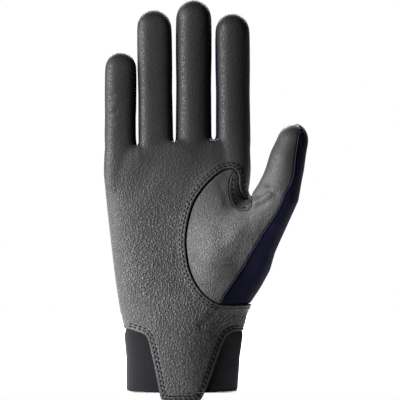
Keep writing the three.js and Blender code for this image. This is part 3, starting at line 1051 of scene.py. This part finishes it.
grain = bpy.data.node_groups.new("leather_grain", "ShaderNodeTree")
for label, way, kind in (
    ("Vector", "INPUT", "Vector"), ("Pebble", "INPUT", "Float"),
    ("Height", "OUTPUT", "Float"), ("Crease", "OUTPUT", "Float"),
):
    grain.interface.new_socket(label, in_out=way, socket_type="NodeSocket" + kind)
given, result = grain.nodes.new("NodeGroupInput").outputs, grain.nodes.new("NodeGroupOutput").inputs
straight = given["Vector"]
wander = texture(grain, "Noise", straight, 140 / METRE, {"Detail": 2.0})["Color"]
shifted = vectors(grain, "SUBTRACT", {0: wander, 1: (0.5, 0.5, 0.5)})
bent = vectors(grain, "MULTIPLY_ADD", {0: shifted, 1: (4 * MM,) * 3, 2: straight})
stretch = add_node(
    grain, "ShaderNodeMapping",
    {"Vector": bent, "Rotation": (0, math.radians(24), 0), "Scale": (1.08, 1.0, 0.92)},
).outputs["Vector"]
pebble_scale = maths(grain, "DIVIDE", 1 / MM, given["Pebble"])
small_scale, pore_scale = (maths(grain, "MULTIPLY", pebble_scale, more) for more in (2.1, 3.1))
loose = {"Randomness": 0.9}
bumps = texture(grain, "Voronoi", stretch, pebble_scale, loose)
cells = texture(grain, "Voronoi", stretch, pebble_scale, loose, feature="DISTANCE_TO_EDGE")
small_bumps = texture(grain, "Voronoi", bent, small_scale, {})
pores = texture(grain, "Noise", straight, pore_scale, {"Detail": 3.0})["Fac"]
domes = ramp(grain, bumps["Distance"], 0.0, 0.7, 1.0, 0.0)
pebbles = ramp(grain, cells["Distance"], 0.0, 0.2)
small = ramp(grain, small_bumps["Distance"], 0.0, 0.75, 1.0, 0.0)
height = maths(grain, "MULTIPLY_ADD", domes, 0.75, maths(grain, "MULTIPLY", small, 0.25))
height = maths(grain, "MULTIPLY_ADD", pebbles, 0.15, height)
height = maths(grain, "MULTIPLY_ADD", pores, 0.2, height)
grain.links.new(height, result["Height"])
grain.links.new(maths(grain, "SUBTRACT", 1.0, pebbles), result["Crease"])


# %% The leather of the palm, and the finer leather of the thumb
def changed(tree, tone, mask, by):
    """A tone made darker or lighter by a share of itself where the mask is one."""
    return shade(tree, tone, maths(tree, "MULTIPLY_ADD", mask, by, 1.0))


def own_value(tree, name):
    """A value that the points of the piece carry."""
    return add_node(tree, "ShaderNodeAttribute", attribute_name=name).outputs["Fac"]


def add_bump(tree, shader, strength, distance, height):
    bump = add_node(tree, "ShaderNodeBump", {"Strength": strength, "Distance": distance, "Height": height})
    tree.links.new(bump.outputs["Normal"], shader.inputs["Normal"])


def leather_material(name, lower, upper, pebble, depth, fade, dark=0.5):
    """Lower and upper are the tone near the wrist and at the fingertips, dark the painted shade in the
    creases.
    """
    material, tree, shader = new_material(name, Roughness=0.45, IOR=1.47)
    place = object_place(tree)
    across_at, _, height_at = add_node(tree, "ShaderNodeSeparateXYZ", {0: place}).outputs
    grained = add_node(tree, "ShaderNodeGroup", node_tree=grain)
    tree.links.new(place, grained.inputs["Vector"])
    grained.inputs["Pebble"].default_value = pebble
    height, crease = grained.outputs["Height"], grained.outputs["Crease"]
    rising = ramp(tree, height_at, fade[0] * MM, fade[1] * MM)
    patches = texture(tree, "Noise", place, 38 / METRE, {"Detail": 3.0})["Fac"]
    ends = {0: rising, 6: (*lower, 1), 7: (*upper, 1)}
    tone = add_node(tree, "ShaderNodeMix", ends, data_type="RGBA").outputs[2]
    tone = shade(tree, tone, ramp(tree, patches, 0.3, 0.7, 0.86, 1.14))
    # Painted shade in the creases of the grain and a painted highlight on the tops of its cells, fainter
    # towards the fingertips.
    crease_shade = maths(tree, "SUBTRACT", ramp(tree, crease, 0.0, 1.0, 1.15, dark), 1.0)
    tone = changed(tree, tone, crease_shade, maths(tree, "MULTIPLY_ADD", rising, -0.75, 1.0))
    tone = shade(tree, tone, ramp(tree, height_at, 20 * MM, 65 * MM, 0.85, 1.0))
    # Painted shade: the leather is darker right of the wrist and tab, and along the left edge of the lower
    # palm.
    for full, none, inner, outer, by in ((44, 62, 2, 24, -0.38), (70, 115, -31, -41, -0.25)):
        below = ramp(tree, height_at, full * MM, none * MM, 1.0, 0.0)
        sideways = ramp(tree, across_at, inner * MM, outer * MM)
        tone = changed(tree, tone, maths(tree, "MULTIPLY", below, sideways), by)
    # Painted shade: the leather darkens to half within 0.8 mm of the panel's rims, in the seams.
    tone = shade(tree, tone, ramp(tree, own_value(tree, "rim"), 0.0, 0.8, 0.5, 1.0))
    sewn = own_value(tree, "sewn")
    # Painted shade darkens the leather a little along the two rows of stitches, in their furrows.
    to_rows = [maths(tree, "ABSOLUTE", maths(tree, "SUBTRACT", sewn, row)) for row in (row_near, row_far)]
    tone = shade(tree, tone, ramp(tree, maths(tree, "MINIMUM", *to_rows), 0.1, 0.5, 0.9, 1.0))
    tree.links.new(tone, shader.inputs["Base Color"])
    tree.links.new(ramp(tree, height, 0.2, 1.0, 0.62, 0.4), shader.inputs["Roughness"])
    strength = maths(tree, "MULTIPLY_ADD", rising, -0.88 * depth, depth)
    for flatter in (ramp(tree, sewn, 3.5, 6.0, 0.4, 1.0), ramp(tree, height_at, 15 * MM, 65 * MM, 0.6, 1.0)):
        strength = maths(tree, "MULTIPLY", strength, flatter)
    add_bump(tree, shader, strength, 0.5 * MM, height)
    return material


def grey(value, blue=0.0):
    return (value, value, value + blue)


palm_finish = leather_material("palm_leather", grey(0.114, 0.002), grey(0.017, 0.001), 1.45, 1.15, (66, 164))
thumb_finish = leather_material("thumb_leather", grey(0.166, -0.001), grey(0.031), 1.0, 0.8, (79, 147))
# The quirk's leather is darker than the thumb's: partly its own tone, partly painted shade of the hollow
# between thumb and index.
quirk_finish_with_shade = leather_material("quirk_leather_with_shade", grey(0.03), grey(0.03), 1.3, 0.6, (85, 155))

# %% [markdown]
# ## Fabric and knit
#
# The navy fabric is a smooth stretch cloth that swallows light, with a faint bloom at its edges. The
# knit of the cuff has fine upright ribs. Both get their pattern from waves in the object's own
# coordinates, too fine to be seen one by one from here, and a soft sheen.

# %% The navy stretch fabric
def fabric_material(name, colour, sheen, tint, ribs, depth):
    material, tree, shader = new_material(
        name, Roughness=0.85, Specular_IOR_Level=0.2,
        Sheen_Weight=sheen, Sheen_Roughness=0.5, Sheen_Tint=(*tint, 1),
    )
    place = object_place(tree)
    rough, uneven = {"Detail": 2.0}, {"Distortion": 1.2, "Detail": 1.0}
    waves = [
        texture(tree, "Wave", place, scale / METRE, uneven, bands_direction=way)["Fac"]
        for way, scale in (("X", ribs), ("Z", 1.4 * ribs))
    ]
    fuzz = texture(tree, "Noise", place, 900 / METRE, rough)["Fac"]
    weave = maths(tree, "MULTIPLY_ADD", fuzz, 0.5, maths(tree, "MULTIPLY", *waves))
    patches = texture(tree, "Noise", place, 45 / METRE, rough)["Fac"]
    shaded = shade(tree, colour, ramp(tree, weave, 0.1, 1.2, 0.75, 1.25))
    shaded = shade(tree, shaded, ramp(tree, patches, 0.3, 0.7, 0.85, 1.15))
    tree.links.new(shaded, shader.inputs["Base Color"])
    add_bump(tree, shader, depth, 0.15 * MM, weave)
    return material


navy_finish = fabric_material("navy_fabric", (0.005, 0.005, 0.028), 0.05, (0.4, 0.4, 0.8), 560, 0.5)
# A lighter navy for the turned edge of the thumb seam, a painted highlight.
edge_highlight_finish = fabric_material("navy_edge_painted_highlight", (0.035, 0.035, 0.085), 0.15, (0.6, 0.6, 0.9), 560, 0.3)
knit_finish = fabric_material("cuff_knit", (0.011, 0.0105, 0.014), 0.15, (0.8, 0.8, 0.9), 380, 0.6)

# %% The thread
thread_finish, tree, shader = new_material("dark_thread", Roughness=0.8, Specular_IOR_Level=0.15)
twist = texture(tree, "Wave", object_place(tree), 900 / METRE, {}, bands_direction="DIAGONAL")["Fac"]
twisted = shade(tree, (0.005, 0.005, 0.006), ramp(tree, twist, 0, 1, 0.7, 1.3))
tree.links.new(twisted, shader.inputs["Base Color"])

# %% [markdown]
# ## Putting it together
#
# Each panel stands for its node of the frame and rides on its body.
# The stitches and the edge only ride along.

# %% Finishes, slots and bodies
finishes = {
    "palm_leather": (palm_finish, "palm_leather"),
    "thumb_leather": (thumb_finish, "thumb_leather"),
    "thumb_quirk": (quirk_finish_with_shade, "thumb_leather"),
}
for name, piece in panels.items():
    finish, slot = finishes.get(name, (navy_finish, "navy_fabric"))
    piece.data.materials.append(finish)
    piece.name = "sewn_" + name
    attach(piece, "root")
    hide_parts(name)
cuff.data.materials.append(knit_finish)
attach(cuff, "root")
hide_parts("cuff")
for piece, finish, slot in (
    (palm_stitches, thread_finish, "palm_leather"),
    (quirk_stitches, thread_finish, "thumb_leather"),
    (seam_edge, edge_highlight_finish, "navy_fabric"),
):
    piece.data.materials.append(finish)
    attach(piece, "root")

# %% [markdown]
# ## Floor, light and camera
#
# The glove is seen on white, with a long lens straight at the palm. A soft key light to the left and a
# little in front grazes the leather. A tall, weaker one further back lights the left rims, and there is
# hardly any fill. One high up behind the glove keeps the floor bright, but not the fingertips.

# %% The floor
floor_z = cuff_low.z - 0.35 * MM
floor_edge = cuff_low.y - 0.4 * MM
floor_half, floor_far = 0.6, 0.9
floor_bm = bmesh.new()
corners = ((-1, floor_edge), (1, floor_edge), (1, floor_far), (-1, floor_far))
floor_bm.faces.new([floor_bm.verts.new((side * floor_half, y, floor_z)) for side, y in corners])
floor = finished("floor", floor_bm, smooth=False)
floor_finish, tree, shader = new_material("pale_floor", Roughness=0.8, Base_Color=(0.9, 0.9, 0.9, 1))
floor.data.materials.append(floor_finish)


# %% The lights
def area_light(name, place, target, size, power):
    data = bpy.data.lights.new(name, "AREA")
    data.shape = "RECTANGLE"
    data.size, data.size_y = size
    data.energy = power
    light = bpy.data.objects.new(name, data)
    light.location = place
    light.rotation_euler = (Vector(target) - Vector(place)).to_track_quat("-Z", "Y").to_euler()
    bpy.context.scene.collection.objects.link(light)


middle = (0.011, 0, 0.115)
area_light("rim_from_left", (-0.9, 0.02, 0.25), middle, (0.25, 0.8), 6)
area_light("key_from_left", (-0.78, -0.58, 0.22), middle, (0.35, 0.6), 16)
area_light("weak_fill", (-0.1, -1.3, 0.3), middle, (0.9, 0.9), 0.5)
area_light("over_the_floor", (0, 0.95, 1.0), (0, 0.35, 0), (1.4, 0.8), 62)
world = bpy.data.worlds.new("studio")
bpy.context.scene.world = world
world.use_nodes = True
background = world.node_tree.nodes["Background"]
background.inputs["Color"].default_value = (1, 1, 1, 1)
background.inputs["Strength"].default_value = 0.025
tree = world.node_tree
seen_white = add_node(tree, "ShaderNodeBackground", {"Color": (1, 1, 1, 1), "Strength": 1.0}).outputs[0]
camera_ray = add_node(tree, "ShaderNodeLightPath").outputs["Is Camera Ray"]
mixed = add_node(tree, "ShaderNodeMixShader", {0: camera_ray, 1: background.outputs[0], 2: seen_white})
tree.links.new(mixed.outputs[0], tree.nodes["World Output"].inputs["Surface"])

# %% The camera, square to the palm
lens, sensor = 200, 36
view_width = 0.2412
camera_data = bpy.data.cameras.new("camera")
camera_data.lens, camera_data.sensor_width = lens, sensor
camera = bpy.data.objects.new("camera", camera_data)
camera.location = (0.0107, -view_width * lens / sensor, 0.1143)
camera.rotation_euler = (math.radians(90), 0, 0)
bpy.context.scene.collection.objects.link(camera)
bpy.context.scene.camera = camera
bpy.context.scene.view_settings.view_transform = "Standard"
